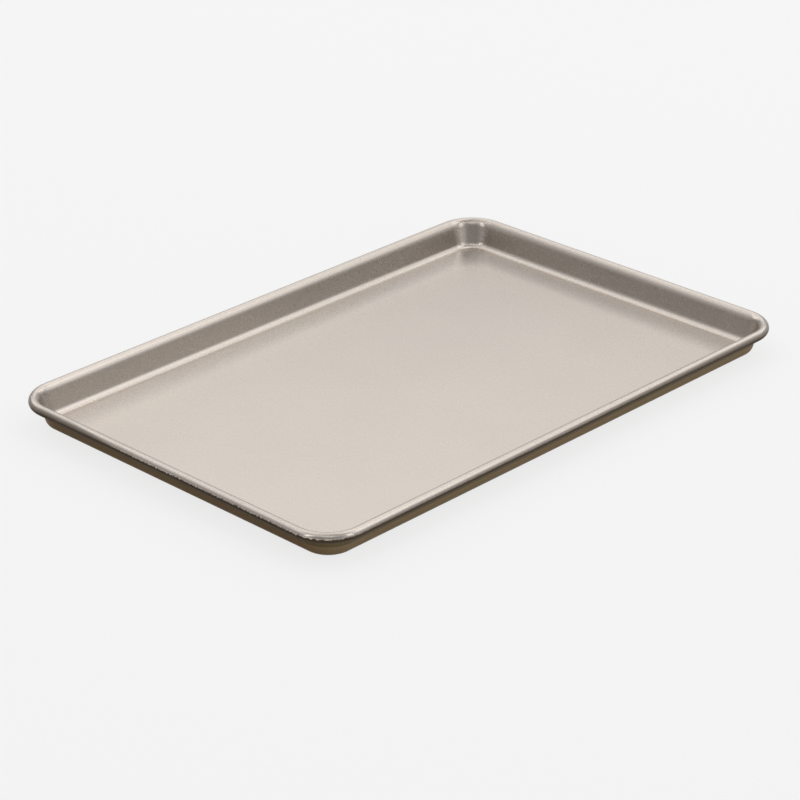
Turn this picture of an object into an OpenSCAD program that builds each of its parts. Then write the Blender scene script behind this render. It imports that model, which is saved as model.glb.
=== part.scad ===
// Shallow baking pan, drawn from one steel sheet.
// The floor turns up through a bend into four sloped walls, and the top of the walls rolls outwards
// into a bead that is closed over a steel wire.
// The origin is at the middle of the underside: X along the pan, Y across it, Z up.

/* [Inside] */
// Length of the inside, at the top of the walls
inside_l = 381; // [200:1:600]
// Width of the inside, at the top of the walls
inside_w = 254; // [160:1:450]
// Height of the whole pan, up to the top of the bead
pan_h = 19; // [15:0.1:60]

/* [Sheet] */
// Thickness of the coated steel sheet
sheet_t = 1; // [0.4:0.05:1.5]
// Slope of the walls, in degrees from upright
wall_slope = 18.2; // [0:0.1:30]
// Inner radius of the bend between the floor and the walls
floor_bend_r = 4.8; // [1:0.1:8]
// Radius of the corners of the flat floor, seen from above
floor_corner_r = 11.1; // [4:0.1:40]

/* [Rolled rim] */
// Diameter of the steel wire inside the bead
wire_d = 4; // [2.5:0.1:6]
// Clearance between the wire and the sheet rolled over it
wire_clear = 0.05; // [0.02:0.01:0.3]
// Gap between the sheet's rolled edge and the outside of the wall
lip_gap = 0.3; // [0.1:0.05:1]
// Gap between the two ends of the wire
wire_butt_gap = 0.5; // [0.2:0.1:5]

/* [Hidden] */
$fn = 96;

inner_coat = "#cfc6bb";
wire_steel = "#8f9296";

// Outside radius of the bead
bead_r = wire_d / 2 + wire_clear + sheet_t;

// Height of the centre of the floor's bend
bend_z = sheet_t + floor_bend_r;

// Length of the flat part of the wall, from the bend up to the bead
wall_l = (pan_h - bead_r - bend_z + (floor_bend_r + bead_r) * sin(wall_slope)) / cos(wall_slope);

// How far the wall leans out from the edge of the flat floor to the bead, seen from above
wall_reach = floor_bend_r * cos(wall_slope) + wall_l * sin(wall_slope);

// Angle of the bead that stays open between the rolled edge and the wall
lip_angle = acos((bead_r - sheet_t - lip_gap) / bead_r);

// Axes that the corners turn about, measured from the middle, to the nearest micrometre
corner_x = round(1000 * (inside_l / 2 - wall_reach - floor_corner_r)) / 1000;
corner_y = round(1000 * (inside_w / 2 - wall_reach - floor_corner_r)) / 1000;

// Carries a section round the four corners and along the four sides.
// The section's X runs outwards from a corner's axis, and its Y runs up.
module around_pan() {
    for (turn = [0:3]) {
        out = turn % 2 == 0 ? corner_x : corner_y;
        along = turn % 2 == 0 ? corner_y : corner_x;
        rotate(90 * turn) {
            translate([out, 0, 0]) rotate([90, 0, 0])
                linear_extrude(height = 2 * along, center = true) children();
            translate([out, along, 0]) rotate_extrude(angle = 90) children();
        }
    }
}

// Places a shape in the wall's own frame: its origin is the centre of the floor's bend,
// its X is square to the wall and its Y runs up the wall.
module in_wall_frame() {
    translate([floor_corner_r, bend_z]) rotate(-wall_slope) children();
}

// Places a shape at the centre of the bead, in the wall's frame
module at_bead() {
    in_wall_frame() translate([floor_bend_r + bead_r, wall_l]) children();
}

module ring(outer_r) {
    difference() {
        circle(outer_r);
        circle(outer_r - sheet_t);
    }
}

// Section of the bend: a quarter ring, less what lies inside the wall. It laps into the foot of the wall.
module bend_section() {
    bend_out = floor_bend_r + sheet_t;
    difference() {
        intersection() {
            translate([floor_corner_r, bend_z]) ring(bend_out);
            translate([floor_corner_r, 0]) square([bend_out, bend_z]);
        }
        in_wall_frame() square([floor_bend_r, bend_out]);
    }
}

// Section of the bead: a ring that laps into the top of the wall and stops short of it again
module curl_section() {
    wall_face = bead_r - sheet_t;
    at_bead() rotate(180) difference() {
        ring(bead_r);
        polygon([[0, 0], [wall_face, 0], [wall_face, wall_face * tan(lip_angle)]]);
    }
}

module sheet_section() {
    square([floor_corner_r, sheet_t]);
    bend_section();
    in_wall_frame() translate([floor_bend_r, 0]) square([sheet_t, wall_l]);
    curl_section();
}

module pan_sheet() {
    color(inner_coat) {
        around_pan() sheet_section();
        translate([-corner_x, -corner_y, 0]) cube([2 * corner_x, 2 * corner_y, sheet_t]);
    }
}

module rim_wire() {
    color(wire_steel) difference() {
        around_pan() at_bead() circle(d = wire_d);
        translate([-wire_butt_gap / 2, corner_y, 0]) cube([wire_butt_gap, corner_y, pan_h]);
    }
}

pan_sheet();
rim_wire();
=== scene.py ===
"""A shallow steel baking pan with a two-sided non-stick coat, on a plain pale table in soft light.

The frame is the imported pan: X along it, Y across it, Z up, with the origin in the middle of its
underside. Every length is in metres.
"""
import math

import bpy
from mathutils import Matrix, Vector


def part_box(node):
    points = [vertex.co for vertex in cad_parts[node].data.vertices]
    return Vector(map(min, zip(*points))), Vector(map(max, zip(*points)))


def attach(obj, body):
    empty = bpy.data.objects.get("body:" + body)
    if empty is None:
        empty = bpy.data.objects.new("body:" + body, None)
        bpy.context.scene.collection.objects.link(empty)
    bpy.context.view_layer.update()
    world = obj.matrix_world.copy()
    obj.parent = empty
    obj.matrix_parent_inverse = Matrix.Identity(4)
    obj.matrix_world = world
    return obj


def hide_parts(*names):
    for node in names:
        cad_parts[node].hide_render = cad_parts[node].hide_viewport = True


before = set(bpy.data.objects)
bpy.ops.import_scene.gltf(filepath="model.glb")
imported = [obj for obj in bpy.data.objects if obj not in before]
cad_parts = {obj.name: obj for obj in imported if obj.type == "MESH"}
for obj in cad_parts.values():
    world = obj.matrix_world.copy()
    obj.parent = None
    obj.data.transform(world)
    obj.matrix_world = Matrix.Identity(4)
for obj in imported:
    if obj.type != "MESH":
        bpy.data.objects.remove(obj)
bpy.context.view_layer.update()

# Section of the sheet, the same sizes as the solids
SHEET_T = 0.001
WALL_SLOPE = math.radians(18.2)
FLOOR_BEND_R = 0.0048
FLOOR_CORNER_R = 0.0111
BEAD_R = 0.00305
LIP_GAP = 0.0003

# The shoulder, which the solids don't have: an arc that eases the wall into the bead. It meets the bead
# at a tilt from level.
SHOULDER_R = 0.008
SHOULDER_TILT = math.radians(45)

# Where the two coats meet on the bead's flank, up from level as seen from the bead's centre
SPRAY_ANGLE = math.radians(10)

PAN_LOW, PAN_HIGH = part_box("pan_sheet")
PAN_H = PAN_HIGH.z - PAN_LOW.z

# Fineness of the swept mesh
CORNER_STEPS = 24
LONG_SIDE_STEPS = 24
SHORT_SIDE_STEPS = 16
BEND_STEPS = 10
CURL_STEPS = 44
SHOULDER_STEPS = 6
SUPPORT = 0.0003
SHARP_ANGLE = math.radians(40)

# Camera, as fitted to the edges of the pan in the photograph
CAMERA_PLACE = Vector((-1.09545, -1.07799, 0.73409))
CAMERA_YAW = math.radians(45.28)
CAMERA_PITCH = math.radians(25.82)
CAMERA_ROLL = math.radians(-0.657)
FOCAL_PIXELS = 2830.7
FRAME_PIXELS = 800
SENSOR_MM = 36.0

# Champagne coat, inside and over the bead
CHAMPAGNE = (0.60, 0.542, 0.489)
CHAMPAGNE_METAL = 1.0
CHAMPAGNE_ROUGH = 0.28

# On the floor a painted reflection tints the coat a little cooler by the walls towards +X and +Y. Each pair
# is where that
# starts and where it is full: two along the axes, and one as lengths inwards from the spray line, where the
# floor begins.
CHAMPAGNE_WALL_REFLECTION = (0.60, 0.575, 0.553)
BY_WALL_X = (0.158, 0.172)
BY_WALL_Y = (0.095, 0.108)
FLOOR_START = (0.027, 0.0285)

# Bronze coat, outside, with light and shade painted into its colour: painted shade, darkest on the bead's
# down-facing flank and in the recess under the bead, a painted reflection that darkens down the rest of the
# wall, and painted light that makes the long sides lighter. Places are lengths outwards from the spray
# line, along the section.
BRONZE_SHORT_BEAD_SHADED = (0.051, 0.032, 0.015)
BRONZE_SHORT_SIDE = (0.170, 0.106, 0.042)
BRONZE_LONG_BEAD_SHADED = (0.067, 0.045, 0.026)
BRONZE_LONG_SIDE_LIT = (0.285, 0.207, 0.110)
BEAD_SHADE_END = (0.009, 0.012)
RECESS_SHADE_PLACES = (0.0294, 0.0302)
PAINTED_RECESS_SHADE = 0.56
WALL_REFLECTION_PLACES = (0.027, 0.033)
WALL_REFLECTION_FADE = (1.08, 0.9)
BRONZE_METAL = 0.0
BRONZE_ROUGH = 0.45
COAT_SPECULAR = 0.05

# Where the colour of the short sides gives way to that of the long ones, inwards from the pan's long edges
LONG_SIDE_START = 0.03
LONG_SIDE_FULL = 0.012

# The line between the coats. On the short side towards -X it is crisp and ragged, and round the rest of
# the pan it fades out as mist. Each ramp is an axis, where the mist starts and is full along it, and how
# much it adds. The raggedness is given as pairs of grain and reach.
MIST_RAMPS = (("X", -0.193, -0.165, 0.3), ("X", 0.0, 0.19, 0.7), ("Y", 0.035, 0.075, 1.0))
SPRAY_RAGGED = ((0.01, 0.0001), (0.0015, 0.0006))
RAGGED_END = 0.3
MIST_RAGGED_SHARE = 0.2
CRISP_HALF_WIDTH = 0.0003
MIST_HALF_WIDTH = 0.0022

# How far the line lies up the bead, in mist and on the short and the long sides
MIST_RISE = 0.0014
SHORT_SIDE_RISE = 0.0003
LONG_SIDE_RISE = -0.0001

# The part of a noise's range that is stretched over the whole effect
BROAD_NOISE = (0.3, 0.7)
FINE_NOISE = (0.25, 0.75)
NOISE_DETAIL = 2.0

# Unevenness of the coats
MOTTLE_SIZE = 0.07
MOTTLE_DEPTH = 0.015
GRAIN_SIZE = 0.0009
GRAIN_DEPTH = 0.015
ROUGH_SIZE = 0.0015
ROUGH_DEPTH = 0.01
PEEL_SIZE = 0.0008
PEEL_HEIGHT = 0.000002

# Bare steel of the wire, with its streaks
WIRE_STEEL = (0.52, 0.52, 0.53)
WIRE_STREAK_SIZE = 0.0006
WIRE_STREAK_DETAIL = 4.0
WIRE_STREAKS = (0.85, 1.05)
WIRE_ROUGH_SIZE = 0.002
WIRE_ROUGH = (0.3, 0.42)

# The table lies a hair under the pan, so that no two faces coincide
TABLE_SIZE = 30.0
TABLE_Z = -0.00005
TABLE_COLOUR = (0.92, 0.92, 0.92, 1)
TABLE_FLAT_SHARE = 0.85

ROOM_LIGHT = 0.12

# Rings of softboxes, each as elevation in degrees, width, height and the brightness of its boxes, which
# stand at even steps round the pan from +X towards +Y, all equally far from its middle
SOFTBOX_FAR = 2.0
SOFTBOX_RINGS = (
    (13, 1.5, 0.62, (0.3, 0.45, 0.15, 0.27, 0.15, 0.18, 0.45, 0.37)),
    (31, 1.3, 0.65, (1.45, 1.08, 1.5, 0.45, 0.2, 0.2, 0.25, 1.0)),
    (50, 1.0, 0.7, (1.1, 1.2, 1.05, 1.0, 0.5, 1.0, 0.3, 1.55)),
    (70, 0.95, 0.7, (1.35, 1.0, 0.65, 0.35)),
    (90, 0.7, 0.7, (0.5,)),
)

# Two upright strips, each as azimuth and elevation in degrees, width, height and brightness. They glint
# in the back corner.
STRIPS = (
    (274, 32, 0.25, 1.3, 2.6),
    (176, 32, 0.25, 1.3, 2.6),
)


def direction(angle):
    """Unit vector in the section, at an angle from its outward axis."""
    return Vector((math.cos(angle), math.sin(angle)))


def arc(centre, radius, start, end, steps):
    """Points along an arc of the section, both ends included."""
    angles = [start + (end - start) * k / steps for k in range(steps + 1)]
    return [centre + radius * direction(a) for a in angles]


def length_of(points):
    """Length of a line through points."""
    return sum((b - a).length for a, b in zip(points, points[1:]))


def straight(start, end):
    """A straight stretch, with a support point close to each end so that it shades flat."""
    along = (end - start).normalized() * SUPPORT
    return [start + along, (start + end) / 2, end - along]


def sheet_section():
    """The outline of the sheet as points (out from the corner's axis, up): an inner list from the floor
    over the bead to its lip, and an outer list back to the underside. Also the reach of the bead from that
    axis, and the place in the inner list of the point where the two coats meet."""
    bend_centre = Vector((FLOOR_CORNER_R, SHEET_T + FLOOR_BEND_R))
    square_to_wall = direction(-WALL_SLOPE)
    up_the_wall = direction(math.pi / 2 - WALL_SLOPE)
    bead_z = PAN_H - BEAD_R
    rise = bead_z - bend_centre.y - (FLOOR_BEND_R + BEAD_R) * square_to_wall.y
    bead_centre = bend_centre + (FLOOR_BEND_R + BEAD_R) * square_to_wall
    bead_centre += rise / up_the_wall.y * up_the_wall

    shoulder = math.pi - SHOULDER_TILT
    shoulder_centre = bead_centre - (SHOULDER_R - BEAD_R) * direction(shoulder)
    across = shoulder_centre - bend_centre
    lean = math.acos((SHOULDER_R + FLOOR_BEND_R) / across.length) - math.atan2(across.y, across.x)
    leave = math.pi - lean
    foot = bend_centre + FLOOR_BEND_R * direction(-lean)
    wall_top = shoulder_centre + SHOULDER_R * direction(leave)
    thick = SHEET_T * direction(-lean)

    lip = math.acos((BEAD_R - SHEET_T - LIP_GAP) / BEAD_R)
    close = lip - math.pi - WALL_SLOPE
    floor_angle = -math.pi / 2
    inner = [Vector((FLOOR_CORNER_R - SUPPORT, SHEET_T))]
    inner += arc(bend_centre, FLOOR_BEND_R, floor_angle, -lean, BEND_STEPS)
    inner += straight(foot, wall_top)
    inner += arc(shoulder_centre, SHOULDER_R, leave, shoulder, SHOULDER_STEPS)
    spray_point = len(inner) + round(CURL_STEPS * (shoulder - SPRAY_ANGLE) / (shoulder - close)) - 1
    inner += arc(bead_centre, BEAD_R, shoulder, close, CURL_STEPS)[1:]
    outer = arc(bead_centre, BEAD_R - SHEET_T, close, shoulder, CURL_STEPS)
    outer += arc(shoulder_centre, SHOULDER_R - SHEET_T, shoulder, leave, SHOULDER_STEPS)[1:]
    outer += straight(wall_top + thick, foot + thick)
    outer += arc(bend_centre, FLOOR_BEND_R + SHEET_T, -lean, floor_angle, BEND_STEPS)
    outer += [Vector((FLOOR_CORNER_R - SUPPORT, 0))]
    return inner, outer, bead_centre.x + BEAD_R, spray_point


def ring_stations(corner_x, corner_y):
    """Stations round the four corners and along the sides between them. Each is a point on a corner's axis,
    or between two of them, and the angle of the way out from it."""
    corners = [
        (corner_x, corner_y),
        (-corner_x, corner_y),
        (-corner_x, -corner_y),
        (corner_x, -corner_y),
    ]
    sides = [LONG_SIDE_STEPS, SHORT_SIDE_STEPS, LONG_SIDE_STEPS, SHORT_SIDE_STEPS]
    stations = []
    for turn in range(4):
        here = Vector(corners[turn])
        ahead = Vector(corners[(turn + 1) % 4])
        for k in range(CORNER_STEPS + 1):
            stations.append((here, (turn + k / CORNER_STEPS) * math.pi / 2))
        for k in range(1, sides[turn]):
            stations.append((here.lerp(ahead, k / sides[turn]), (turn + 1) * math.pi / 2))
    return stations


def grid_rim(table):
    """The outer vertices of a floor grid, one for each station. All stations of a corner share one."""
    last_i, last_j = LONG_SIDE_STEPS, SHORT_SIDE_STEPS
    corner = CORNER_STEPS + 1
    rim = [table[0, 0]] * corner + [table[i, 0] for i in range(1, last_i)]
    rim += [table[last_i, 0]] * corner + [table[last_i, j] for j in range(1, last_j)]
    rim += [table[last_i, last_j]] * corner + [table[last_i - i, last_j] for i in range(1, last_i)]
    rim += [table[0, last_j]] * corner + [table[0, last_j - j] for j in range(1, last_j)]
    return rim


def sheet_vertices():
    """Vertices of the sheet, and how far each lies past the spray line along the section: negative inside
    the pan, positive under the bead, on the outside and on the underside. Also the rows of vertices from
    the rim of the floor's top grid round to that of the one beneath, and those two grids."""
    inner, outer, reach, spray_point = sheet_section()
    corner_x = PAN_HIGH.x - reach
    corner_y = PAN_HIGH.y - reach
    stations = ring_stations(corner_x, corner_y)
    verts = []
    along = []

    def grid(height, distance):
        """Adds the rectangle between the corner axes and returns its vertices by place."""
        table = {}
        for i in range(LONG_SIDE_STEPS + 1):
            for j in range(SHORT_SIDE_STEPS + 1):
                x = corner_x * (1 - 2 * i / LONG_SIDE_STEPS)
                y = corner_y * (1 - 2 * j / SHORT_SIDE_STEPS)
                table[i, j] = len(verts)
                verts.append((x, y, height))
                along.append(distance)
        return table

    def ring(point, distance):
        """Adds a point of the section at every station and returns the new vertices."""
        first = len(verts)
        for axis, angle in stations:
            x, y = axis + point.x * direction(angle)
            verts.append((x, y, point.y))
            along.append(distance)
        return list(range(first, len(verts)))

    inside_length = length_of(inner[:spray_point + 1])
    top = grid(SHEET_T, -inside_length - inner[0].x)
    rows = [grid_rim(top)]
    distance = -inside_length
    before = inner[0]
    for point in inner + outer:
        distance += (point - before).length
        rows.append(ring(point, distance))
        before = point
    under = grid(0.0, distance + outer[-1].x)
    rows.append(grid_rim(under))
    return verts, along, rows, top, under


def sheet_faces(rows, top, under):
    """Faces between neighbouring rows, and over the two grids of the floor. Beside a corner's single vertex
    they are triangles, and elsewhere they have four sides."""
    faces = []
    for low, high in zip(rows, rows[1:]):
        for k in range(len(low)):
            after = (k + 1) % len(low)
            face = dict.fromkeys([low[k], high[k], high[after], low[after]])
            faces.append(list(face))
    for i in range(LONG_SIDE_STEPS):
        for j in range(SHORT_SIDE_STEPS):
            cell = [(i, j), (i, j + 1), (i + 1, j + 1), (i + 1, j)]
            faces.append([top[c] for c in reversed(cell)])
            faces.append([under[c] for c in cell])
    return faces


def swept_sheet():
    """The pan's sheet as one closed mesh: the section carried round the stations, with a grid for each face
    of the floor. A vertex attribute holds how far a point lies past the spray line."""
    verts, along, rows, top, under = sheet_vertices()
    mesh = bpy.data.meshes.new("pan_sheet_coated")
    mesh.from_pydata(verts, [], sheet_faces(rows, top, under))
    mesh.validate()
    layer = mesh.attributes.new("past_spray_line", "FLOAT", "POINT")
    layer.data.foreach_set("value", along)
    mesh.shade_smooth()
    mesh.set_sharp_from_angle(angle=SHARP_ANGLE)
    piece = bpy.data.objects.new("pan_sheet_coated", mesh)
    bpy.context.scene.collection.objects.link(piece)
    return piece


def make_camera():
    """The camera of the photograph, with its small roll."""
    forward = Vector((
        math.sin(CAMERA_YAW) * math.cos(CAMERA_PITCH),
        math.cos(CAMERA_YAW) * math.cos(CAMERA_PITCH),
        -math.sin(CAMERA_PITCH),
    ))
    level = Vector((math.cos(CAMERA_YAW), -math.sin(CAMERA_YAW), 0))
    upright = level.cross(forward)
    right = math.cos(CAMERA_ROLL) * level + math.sin(CAMERA_ROLL) * upright
    up = math.cos(CAMERA_ROLL) * upright - math.sin(CAMERA_ROLL) * level
    data = bpy.data.cameras.new("camera")
    data.sensor_width = SENSOR_MM
    data.lens = FOCAL_PIXELS / FRAME_PIXELS * SENSOR_MM
    camera = bpy.data.objects.new("camera", data)
    turn = Matrix((right, up, -forward)).transposed()
    camera.matrix_world = Matrix.Translation(CAMERA_PLACE) @ turn.to_4x4()
    bpy.context.scene.collection.objects.link(camera)
    bpy.context.scene.camera = camera


def new_material(name):
    """A material with its node tree and its shader."""
    material = bpy.data.materials.new(name)
    material.use_nodes = True
    return material, material.node_tree, material.node_tree.nodes["Principled BSDF"]


def object_place(tree):
    """Place of a point in the object's own space."""
    return tree.nodes.new("ShaderNodeTexCoord").outputs["Object"]


def noise(tree, grain, detail=NOISE_DETAIL):
    """Noise in the object's own space, from 0 to 1, with features about as large as grain."""
    node = tree.nodes.new("ShaderNodeTexNoise")
    node.inputs["Scale"].default_value = 1 / grain
    node.inputs["Detail"].default_value = detail
    tree.links.new(object_place(tree), node.inputs["Vector"])
    return node.outputs["Fac"]


def spread(tree, value, from_low, from_high, to_low, to_high):
    """A value carried from one range to another, and held at its ends."""
    node = tree.nodes.new("ShaderNodeMapRange")
    node.inputs["From Min"].default_value = from_low
    node.inputs["From Max"].default_value = from_high
    node.inputs["To Min"].default_value = to_low
    node.inputs["To Max"].default_value = to_high
    tree.links.new(value, node.inputs["Value"])
    return node.outputs["Result"]


def combine(tree, kind, first, second=0.0):
    """Two values, or a value and a number, joined by a math node. Some kinds use the first alone."""
    node = tree.nodes.new("ShaderNodeMath")
    node.operation = kind
    tree.links.new(first, node.inputs[0])
    if isinstance(second, float):
        node.inputs[1].default_value = second
    else:
        tree.links.new(second, node.inputs[1])
    return node.outputs[0]


def blend_colours(tree, share, first, second):
    """Mix of two colours, each a socket or three numbers, by a share from 0 to 1. The node's colour sockets
    come after those for numbers and vectors, which have the same names."""
    node = tree.nodes.new("ShaderNodeMix")
    node.data_type = "RGBA"
    tree.links.new(share, node.inputs["Factor"])
    first_socket, second_socket = node.inputs[6], node.inputs[7]
    for socket, colour in ((first_socket, first), (second_socket, second)):
        if isinstance(colour, tuple):
            socket.default_value = (*colour, 1)
        else:
            tree.links.new(colour, socket)
    return node.outputs[2]


def scaled_colour(tree, colour, brightness):
    """A colour times a value."""
    node = tree.nodes.new("ShaderNodeVectorMath")
    node.operation = "SCALE"
    if isinstance(colour, tuple):
        node.inputs[0].default_value = colour
    else:
        tree.links.new(colour, node.inputs[0])
    tree.links.new(brightness, node.inputs["Scale"])
    return node.outputs[0]


def fine_bump(tree, shader, grain, height):
    """Fine relief of the surface."""
    bump = tree.nodes.new("ShaderNodeBump")
    bump.inputs["Strength"].default_value = 1.0
    bump.inputs["Distance"].default_value = height
    tree.links.new(noise(tree, grain), bump.inputs["Height"])
    tree.links.new(bump.outputs["Normal"], shader.inputs["Normal"])


def axis_place(tree, axis):
    """Place along one axis of the object's own space."""
    axes = tree.nodes.new("ShaderNodeSeparateXYZ")
    tree.links.new(object_place(tree), axes.inputs[0])
    return axes.outputs[axis]


def mist_share(tree):
    """0 where the spray line is crisp, growing to 1 and past it where it is all mist."""
    total = None
    for axis, start, end, amount in MIST_RAMPS:
        ramp = spread(tree, axis_place(tree, axis), start, end, 0.0, amount)
        total = combine(tree, "ADD", ramp, total) if total else ramp
    return total


def long_side_share(tree):
    """1 along the long sides of the pan, and 0 along the short ones."""
    across = combine(tree, "ABSOLUTE", axis_place(tree, "Y"))
    start = PAN_HIGH.y - LONG_SIDE_START
    full = PAN_HIGH.y - LONG_SIDE_FULL
    return spread(tree, across, start, full, 0.0, 1.0)


def outside_share(tree, past, long_side):
    """0 in the champagne coat and 1 in the bronze coat, by how far a point lies past the spray line."""
    mist = mist_share(tree)
    raggedness = spread(tree, mist, 0.0, RAGGED_END, 1.0, MIST_RAGGED_SHARE)
    for grain, reach in SPRAY_RAGGED:
        ragged = spread(tree, noise(tree, grain), *FINE_NOISE, -reach, reach)
        past = combine(tree, "ADD", past, combine(tree, "MULTIPLY", ragged, raggedness))
    side_rise = spread(tree, long_side, 0.0, 1.0, SHORT_SIDE_RISE, LONG_SIDE_RISE)
    mist_rise = spread(tree, mist, 0.0, 1.0, 0.0, MIST_RISE)
    past = combine(tree, "ADD", past, combine(tree, "ADD", side_rise, mist_rise))
    half_width = spread(tree, mist, 0.0, 1.0, CRISP_HALF_WIDTH, MIST_HALF_WIDTH)
    return spread(tree, combine(tree, "DIVIDE", past, half_width), -1.0, 1.0, 0.0, 1.0)


def champagne_colour(tree, past):
    """The inside coat, with a painted reflection: a cooler tint on the floor by two of the walls."""
    by_x = spread(tree, axis_place(tree, "X"), *BY_WALL_X, 0.0, 1.0)
    by_y = spread(tree, axis_place(tree, "Y"), *BY_WALL_Y, 0.0, 1.0)
    inwards = combine(tree, "MULTIPLY", past, -1.0)
    on_floor = spread(tree, inwards, *FLOOR_START, 0.0, 1.0)
    # Painted reflection: the floor is tinted cooler beside the walls towards +X and +Y
    share = combine(tree, "MULTIPLY", combine(tree, "MAXIMUM", by_x, by_y), on_floor)
    return blend_colours(tree, share, CHAMPAGNE, CHAMPAGNE_WALL_REFLECTION)


def bronze_colour(tree, past, long_side):
    """The outside coat, from the bead's flank down the wall. Its colour holds painted shade on the flank
    and in the recess under the bead, a painted reflection darkening down the wall, and painted light on the
    long sides.
    """
    # Painted shade in the recess under the bead
    recess = spread(tree, past, *RECESS_SHADE_PLACES, PAINTED_RECESS_SHADE, 1.0)
    # Painted reflection: lighter at the top of the wall and darker at its foot
    fade = spread(tree, past, *WALL_REFLECTION_PLACES, *WALL_REFLECTION_FADE)
    # Painted light: the long sides are lighter than the short ones
    side = blend_colours(tree, long_side, BRONZE_SHORT_SIDE, BRONZE_LONG_SIDE_LIT)
    side = scaled_colour(tree, side, combine(tree, "MULTIPLY", recess, fade))
    # Painted shade on the bead's down-facing flank, less dark on the long sides as painted light
    bead = blend_colours(tree, long_side, BRONZE_SHORT_BEAD_SHADED, BRONZE_LONG_BEAD_SHADED)
    off_shaded_bead = spread(tree, past, *BEAD_SHADE_END, 0.0, 1.0)
    return blend_colours(tree, off_shaded_bead, bead, side)


def coat_material():
    """Champagne coat inside and over the bead, and bronze coat outside, with fine metallic grain, and light
    and shade painted into the colour of both.
    """
    material, tree, shader = new_material("coats_and_painted_shade")
    mottle = spread(tree, noise(tree, MOTTLE_SIZE), *BROAD_NOISE, 1 - MOTTLE_DEPTH, 1 + MOTTLE_DEPTH)
    grain = spread(tree, noise(tree, GRAIN_SIZE), *FINE_NOISE, 1 - GRAIN_DEPTH, 1 + GRAIN_DEPTH)
    bright = combine(tree, "MULTIPLY", mottle, grain)
    attribute = tree.nodes.new("ShaderNodeAttribute")
    attribute.attribute_name = "past_spray_line"
    past = attribute.outputs["Fac"]
    long_side = long_side_share(tree)
    outside = outside_share(tree, past, long_side)
    bronze = bronze_colour(tree, past, long_side)
    colour = blend_colours(tree, outside, champagne_colour(tree, past), bronze)
    tree.links.new(scaled_colour(tree, colour, bright), shader.inputs["Base Color"])
    metal = spread(tree, outside, 0.0, 1.0, CHAMPAGNE_METAL, BRONZE_METAL)
    tree.links.new(metal, shader.inputs["Metallic"])
    shader.inputs["Specular IOR Level"].default_value = COAT_SPECULAR
    rough = spread(tree, outside, 0.0, 1.0, CHAMPAGNE_ROUGH, BRONZE_ROUGH)
    uneven = spread(tree, noise(tree, ROUGH_SIZE), *BROAD_NOISE, -ROUGH_DEPTH, ROUGH_DEPTH)
    tree.links.new(combine(tree, "ADD", rough, uneven), shader.inputs["Roughness"])
    fine_bump(tree, shader, PEEL_SIZE, PEEL_HEIGHT)
    return material


def steel_material():
    """Bare drawn wire, with faint streaks."""
    material, tree, shader = new_material("drawn_steel")
    streak = spread(tree, noise(tree, WIRE_STREAK_SIZE, WIRE_STREAK_DETAIL), *BROAD_NOISE, *WIRE_STREAKS)
    tree.links.new(scaled_colour(tree, WIRE_STEEL, streak), shader.inputs["Base Color"])
    shader.inputs["Metallic"].default_value = 1.0
    rough = spread(tree, noise(tree, WIRE_ROUGH_SIZE), *BROAD_NOISE, *WIRE_ROUGH)
    tree.links.new(rough, shader.inputs["Roughness"])
    return material


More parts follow.
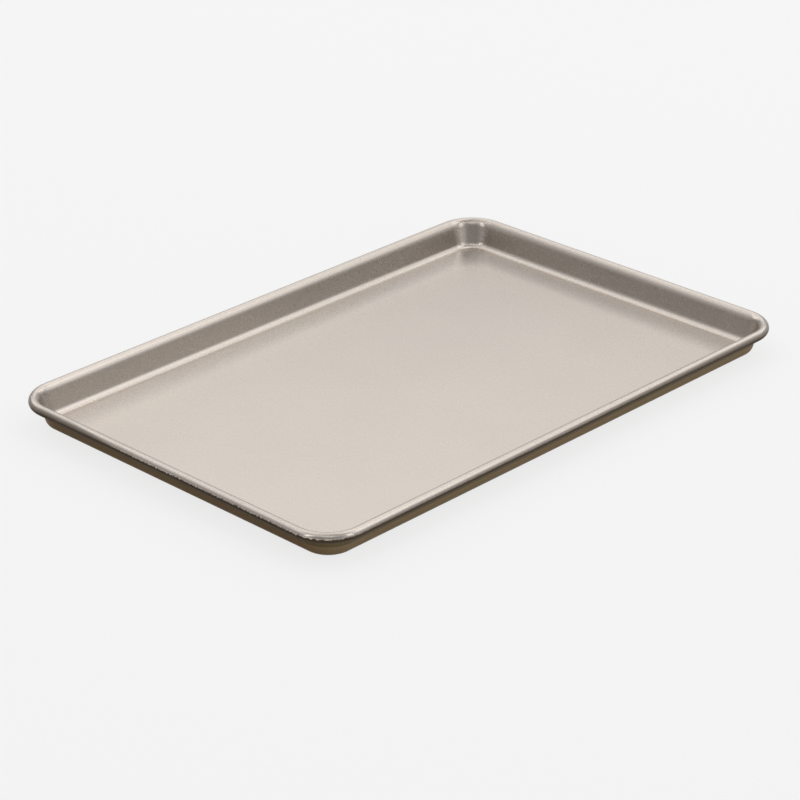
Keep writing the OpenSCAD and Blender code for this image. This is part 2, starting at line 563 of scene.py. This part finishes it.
def table_material():
    """Plain pale table. A share of what the camera and reflections see of it is its flat colour, so that
    the pan's shadow stays faint."""
    material = bpy.data.materials.new("table_pale")
    material.use_nodes = True
    material.cycles.emission_sampling = "NONE"
    tree = material.node_tree
    tree.nodes.clear()
    output = tree.nodes.new("ShaderNodeOutputMaterial")
    lit = tree.nodes.new("ShaderNodeBsdfDiffuse")
    lit.inputs["Color"].default_value = TABLE_COLOUR
    flat = tree.nodes.new("ShaderNodeEmission")
    flat.inputs["Color"].default_value = TABLE_COLOUR
    path = tree.nodes.new("ShaderNodeLightPath")
    seen = combine(tree, "ADD", path.outputs["Is Camera Ray"], path.outputs["Is Glossy Ray"])
    seen = combine(tree, "ADD", seen, path.outputs["Is Transmission Ray"])
    mix = tree.nodes.new("ShaderNodeMixShader")
    tree.links.new(spread(tree, seen, 0.0, 1.0, 0.0, TABLE_FLAT_SHARE), mix.inputs["Fac"])
    tree.links.new(lit.outputs[0], mix.inputs[1])
    tree.links.new(flat.outputs[0], mix.inputs[2])
    tree.links.new(mix.outputs[0], output.inputs["Surface"])
    return material


def make_floor():
    """The table top, one large square."""
    mesh = bpy.data.meshes.new("table_top")
    half = TABLE_SIZE / 2
    corners = [
        (-half, -half, TABLE_Z),
        (half, -half, TABLE_Z),
        (half, half, TABLE_Z),
        (-half, half, TABLE_Z),
    ]
    mesh.from_pydata(corners, [], [(0, 1, 2, 3)])
    mesh.materials.append(table_material())
    table = bpy.data.objects.new("table_top", mesh)
    bpy.context.scene.collection.objects.link(table)


def make_softbox(azimuth, elevation, width, height, brightness):
    """A softbox aimed at the pan. Its brightness is what a mirror would show of it."""
    data = bpy.data.lights.new("softbox", "AREA")
    data.shape = "RECTANGLE"
    data.size = width
    data.size_y = height
    data.energy = math.pi * width * height * brightness
    lamp = bpy.data.objects.new("softbox", data)
    ground = direction(azimuth)
    lamp.location = SOFTBOX_FAR * Vector((*(math.cos(elevation) * ground), math.sin(elevation)))
    lamp.rotation_euler = (-lamp.location).to_track_quat("-Z", "Y").to_euler()
    bpy.context.scene.collection.objects.link(lamp)


def make_lights():
    """A dim plain room, rings of softboxes over the pan, and two strips."""
    world = bpy.data.worlds.new("room")
    world.use_nodes = True
    world.node_tree.nodes["Background"].inputs["Color"].default_value = (1, 1, 1, 1)
    world.node_tree.nodes["Background"].inputs["Strength"].default_value = ROOM_LIGHT
    bpy.context.scene.world = world
    for elevation, width, height, ring_brightness in SOFTBOX_RINGS:
        for k, brightness in enumerate(ring_brightness):
            azimuth = 2 * math.pi * k / len(ring_brightness)
            make_softbox(azimuth, math.radians(elevation), width, height, brightness)
    for azimuth, elevation, width, height, brightness in STRIPS:
        make_softbox(math.radians(azimuth), math.radians(elevation), width, height, brightness)


make_camera()
make_floor()
make_lights()

pan = swept_sheet()
pan.data.materials.append(coat_material())
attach(pan, "root")
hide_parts("pan_sheet")

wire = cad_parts["rim_wire"]
wire.material_slots[0].link = "OBJECT"
wire.material_slots[0].material = steel_material()

bpy.context.scene.view_settings.view_transform = "Standard"
